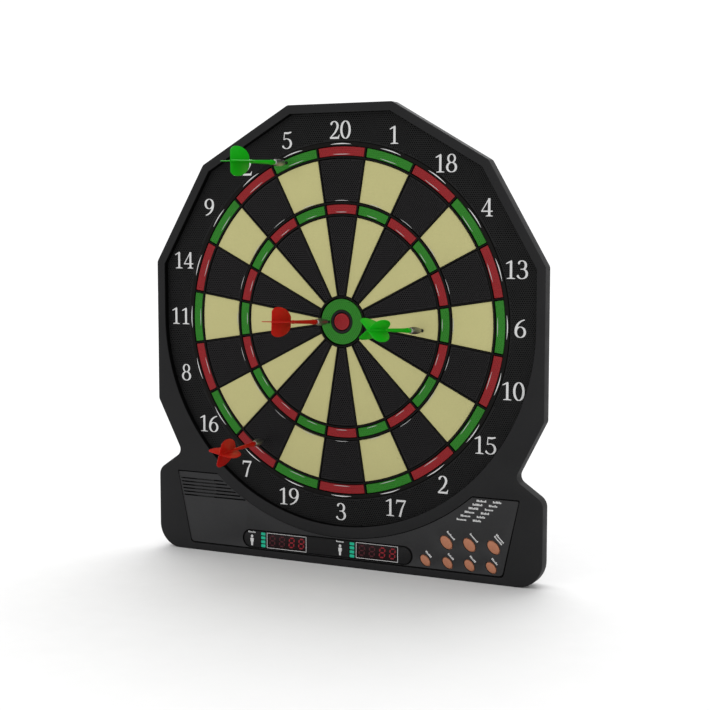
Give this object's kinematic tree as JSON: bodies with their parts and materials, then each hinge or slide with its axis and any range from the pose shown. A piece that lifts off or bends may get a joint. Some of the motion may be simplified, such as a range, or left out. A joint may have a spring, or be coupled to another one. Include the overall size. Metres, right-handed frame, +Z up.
{
  "type": "electronic dartboard",
  "caption": "Wall-hung electronic dartboard with a twelve-sided bezel, pressure-sensing plastic target, scoring console with displays and oval push buttons, and soft-tip darts.",
  "frame": {"origin": "on the rear plane that lies against the wall, straight behind the centre of the bull", "axes": "+Z up, +X to the right of a player who faces the board, -Y out of the wall towards the player"},
  "size_m": [0.425, 0.1349, 0.4564],
  "materials": {
    "housing_black": "fine moulded texture, satin",
    "ring_black": "fine grid of dimples, matt",
    "spider_black": "satin",
    "segment_black": "fine grid of dimples, satin",
    "segment_cream": "satin",
    "target_red": "satin",
    "target_green": "satin",
    "window_gloss": "polished",
    "display_lens": "polished dark red",
    "light_lens": "diffusing",
    "button_orange": "satin",
    "dart_green": "smooth",
    "dart_red": "smooth",
    "barrel_metal": "knurled",
    "tip_plastic": "smooth",
    "rubber_grey": "matt",
    "film": "smooth",
    "hardboard": "pressed board",
    "circuit_board": "solder mask",
    "speaker_black": "matt",
    "cell_wrap": "smooth",
    "print_white": "screen print"
  },
  "bodies": {
    "housing": {"front_housing": "housing_black", "rear_cover": "housing_black", "number_ring": "ring_black", "spider": "spider_black", "rubber_mat": "rubber_grey", "contact_membrane": "film", "matrix_backplate": "hardboard", "display_window": "window_gloss", "display_left": "display_lens", "display_right": "display_lens", "status_lights_left": "light_lens", "status_lights_right": "light_lens", "keypad_mat": "rubber_grey", "control_board": "circuit_board", "speaker": "speaker_black", "battery_1": "cell_wrap", "battery_2": "cell_wrap", "battery_3": "cell_wrap"},
    "sector_01": {"sector_01": "segment_cream"},
    "sector_02": {"sector_02": "segment_black"},
    "sector_03": {"sector_03": "segment_black"},
    "sector_04": {"sector_04": "segment_cream"},
    "sector_05": {"sector_05": "segment_cream"},
    "sector_06": {"sector_06": "segment_cream"},
    "sector_07": {"sector_07": "segment_black"},
    "sector_08": {"sector_08": "segment_black"},
    "sector_09": {"sector_09": "segment_cream"},
    "sector_10": {"sector_10": "segment_black"},
    "sector_11": {"sector_11": "segment_cream"},
    "sector_12": {"sector_12": "segment_black"},
    "sector_13": {"sector_13": "segment_black"},
    "sector_14": {"sector_14": "segment_black"},
    "sector_15": {"sector_15": "segment_cream"},
    "sector_16": {"sector_16": "segment_cream"},
    "sector_17": {"sector_17": "segment_cream"},
    "sector_18": {"sector_18": "segment_black"},
    "sector_19": {"sector_19": "segment_cream"},
    "sector_20": {"sector_20": "segment_black"},
    "bull_outer": {"bull_outer": "target_green"},
    "bull_inner": {"bull_inner": "target_red"},
    "battery_door": {"battery_door": "housing_black"},
    "button_top_1": {"button_top_1": "button_orange"},
    "button_top_2": {"button_top_2": "button_orange"},
    "button_top_3": {"button_top_3": "button_orange"},
    "button_low_1": {"button_low_1": "button_orange"},
    "button_low_2": {"button_low_2": "button_orange"},
    "button_low_3": {"button_low_3": "button_orange"},
    "button_low_4": {"button_low_4": "button_orange"},
    "dart_1": {"dart_1_tip": "tip_plastic", "dart_1_barrel": "barrel_metal", "dart_1_flight": "dart_green"},
    "dart_2": {"dart_2_tip": "tip_plastic", "dart_2_barrel": "barrel_metal", "dart_2_flight": "dart_red"},
    "dart_3": {"dart_3_tip": "tip_plastic", "dart_3_barrel": "barrel_metal", "dart_3_flight": "dart_green"},
    "dart_4": {"dart_4_tip": "tip_plastic", "dart_4_barrel": "barrel_metal", "dart_4_flight": "dart_red"}
  },
  "joints": [
    {"name": "battery_door_hinge", "type": "hinge", "parent": "housing", "child": "battery_door", "pos_m": [-0.146, -0.001, -0.1909], "axis": [1, 0, 0], "range_deg": [0, 100]},
    {"name": "pull_dart_1", "type": "slide", "parent": "sector_05", "child": "dart_1", "axis": [0.045, -0.9988, -0.018], "range_m": [0, 0.03]},
    {"name": "pull_dart_2", "type": "slide", "parent": "bull_outer", "child": "dart_2", "axis": [0.005, -0.9981, 0.061], "range_m": [0, 0.03]},
    {"name": "pull_dart_3", "type": "slide", "parent": "sector_06", "child": "dart_3", "axis": [-0.022, -0.9971, 0.073], "range_m": [0, 0.03]},
    {"name": "pull_dart_4", "type": "slide", "parent": "sector_07", "child": "dart_4", "axis": [0.146, -0.9889, 0.026], "range_m": [0, 0.03]},
    {"name": "press_button_top_1", "type": "slide", "parent": "housing", "child": "button_top_1", "axis": [0, 1, 0], "range_m": [0, 0.0015], "stiffness_N_per_m": 500, "springref_m": -0.0006},
    {"name": "press_button_top_2", "type": "slide", "parent": "housing", "child": "button_top_2", "axis": [0, 1, 0], "range_m": [0, 0.0015], "stiffness_N_per_m": 500, "springref_m": -0.0006},
    {"name": "press_button_top_3", "type": "slide", "parent": "housing", "child": "button_top_3", "axis": [0, 1, 0], "range_m": [0, 0.0015], "stiffness_N_per_m": 500, "springref_m": -0.0006},
    {"name": "press_button_low_1", "type": "slide", "parent": "housing", "child": "button_low_1", "axis": [0, 1, 0], "range_m": [0, 0.0015], "stiffness_N_per_m": 500, "springref_m": -0.0006},
    {"name": "press_button_low_2", "type": "slide", "parent": "housing", "child": "button_low_2", "axis": [0, 1, 0], "range_m": [0, 0.0015], "stiffness_N_per_m": 500, "springref_m": -0.0006},
    {"name": "press_button_low_3", "type": "slide", "parent": "housing", "child": "button_low_3", "axis": [0, 1, 0], "range_m": [0, 0.0015], "stiffness_N_per_m": 500, "springref_m": -0.0006},
    {"name": "press_button_low_4", "type": "slide", "parent": "housing", "child": "button_low_4", "axis": [0, 1, 0], "range_m": [0, 0.0015], "stiffness_N_per_m": 500, "springref_m": -0.0006},
    {"name": "press_bull_outer", "type": "slide", "parent": "housing", "child": "bull_outer", "axis": [0, 1, 0], "range_m": [0, 0.0015], "stiffness_N_per_m": 1200, "springref_m": -0.0006},
    {"name": "press_bull_inner", "type": "slide", "parent": "housing", "child": "bull_inner", "axis": [0, 1, 0], "range_m": [0, 0.0015], "stiffness_N_per_m": 1200, "springref_m": -0.0006},
    {"name": "press_sector_01", "type": "slide", "parent": "housing", "child": "sector_01", "axis": [0, 1, 0], "range_m": [0, 0.0015], "stiffness_N_per_m": 1200, "springref_m": -0.0006},
    {"name": "press_sector_02", "type": "slide", "parent": "housing", "child": "sector_02", "axis": [0, 1, 0], "range_m": [0, 0.0015], "stiffness_N_per_m": 1200, "springref_m": -0.0006},
    {"name": "press_sector_03", "type": "slide", "parent": "housing", "child": "sector_03", "axis": [0, 1, 0], "range_m": [0, 0.0015], "stiffness_N_per_m": 1200, "springref_m": -0.0006},
    {"name": "press_sector_04", "type": "slide", "parent": "housing", "child": "sector_04", "axis": [0, 1, 0], "range_m": [0, 0.0015], "stiffness_N_per_m": 1200, "springref_m": -0.0006},
    {"name": "press_sector_05", "type": "slide", "parent": "housing", "child": "sector_05", "axis": [0, 1, 0], "range_m": [0, 0.0015], "stiffness_N_per_m": 1200, "springref_m": -0.0006},
    {"name": "press_sector_06", "type": "slide", "parent": "housing", "child": "sector_06", "axis": [0, 1, 0], "range_m": [0, 0.0015], "stiffness_N_per_m": 1200, "springref_m": -0.0006},
    {"name": "press_sector_07", "type": "slide", "parent": "housing", "child": "sector_07", "axis": [0, 1, 0], "range_m": [0, 0.0015], "stiffness_N_per_m": 1200, "springref_m": -0.0006},
    {"name": "press_sector_08", "type": "slide", "parent": "housing", "child": "sector_08", "axis": [0, 1, 0], "range_m": [0, 0.0015], "stiffness_N_per_m": 1200, "springref_m": -0.0006},
    {"name": "press_sector_09", "type": "slide", "parent": "housing", "child": "sector_09", "axis": [0, 1, 0], "range_m": [0, 0.0015], "stiffness_N_per_m": 1200, "springref_m": -0.0006},
    {"name": "press_sector_10", "type": "slide", "parent": "housing", "child": "sector_10", "axis": [0, 1, 0], "range_m": [0, 0.0015], "stiffness_N_per_m": 1200, "springref_m": -0.0006},
    {"name": "press_sector_11", "type": "slide", "parent": "housing", "child": "sector_11", "axis": [0, 1, 0], "range_m": [0, 0.0015], "stiffness_N_per_m": 1200, "springref_m": -0.0006},
    {"name": "press_sector_12", "type": "slide", "parent": "housing", "child": "sector_12", "axis": [0, 1, 0], "range_m": [0, 0.0015], "stiffness_N_per_m": 1200, "springref_m": -0.0006},
    {"name": "press_sector_13", "type": "slide", "parent": "housing", "child": "sector_13", "axis": [0, 1, 0], "range_m": [0, 0.0015], "stiffness_N_per_m": 1200, "springref_m": -0.0006},
    {"name": "press_sector_14", "type": "slide", "parent": "housing", "child": "sector_14", "axis": [0, 1, 0], "range_m": [0, 0.0015], "stiffness_N_per_m": 1200, "springref_m": -0.0006},
    {"name": "press_sector_15", "type": "slide", "parent": "housing", "child": "sector_15", "axis": [0, 1, 0], "range_m": [0, 0.0015], "stiffness_N_per_m": 1200, "springref_m": -0.0006},
    {"name": "press_sector_16", "type": "slide", "parent": "housing", "child": "sector_16", "axis": [0, 1, 0], "range_m": [0, 0.0015], "stiffness_N_per_m": 1200, "springref_m": -0.0006},
    {"name": "press_sector_17", "type": "slide", "parent": "housing", "child": "sector_17", "axis": [0, 1, 0], "range_m": [0, 0.0015], "stiffness_N_per_m": 1200, "springref_m": -0.0006},
    {"name": "press_sector_18", "type": "slide", "parent": "housing", "child": "sector_18", "axis": [0, 1, 0], "range_m": [0, 0.0015], "stiffness_N_per_m": 1200, "springref_m": -0.0006},
    {"name": "press_sector_19", "type": "slide", "parent": "housing", "child": "sector_19", "axis": [0, 1, 0], "range_m": [0, 0.0015], "stiffness_N_per_m": 1200, "springref_m": -0.0006},
    {"name": "press_sector_20", "type": "slide", "parent": "housing", "child": "sector_20", "axis": [0, 1, 0], "range_m": [0, 0.0015], "stiffness_N_per_m": 1200, "springref_m": -0.0006}
  ]
}
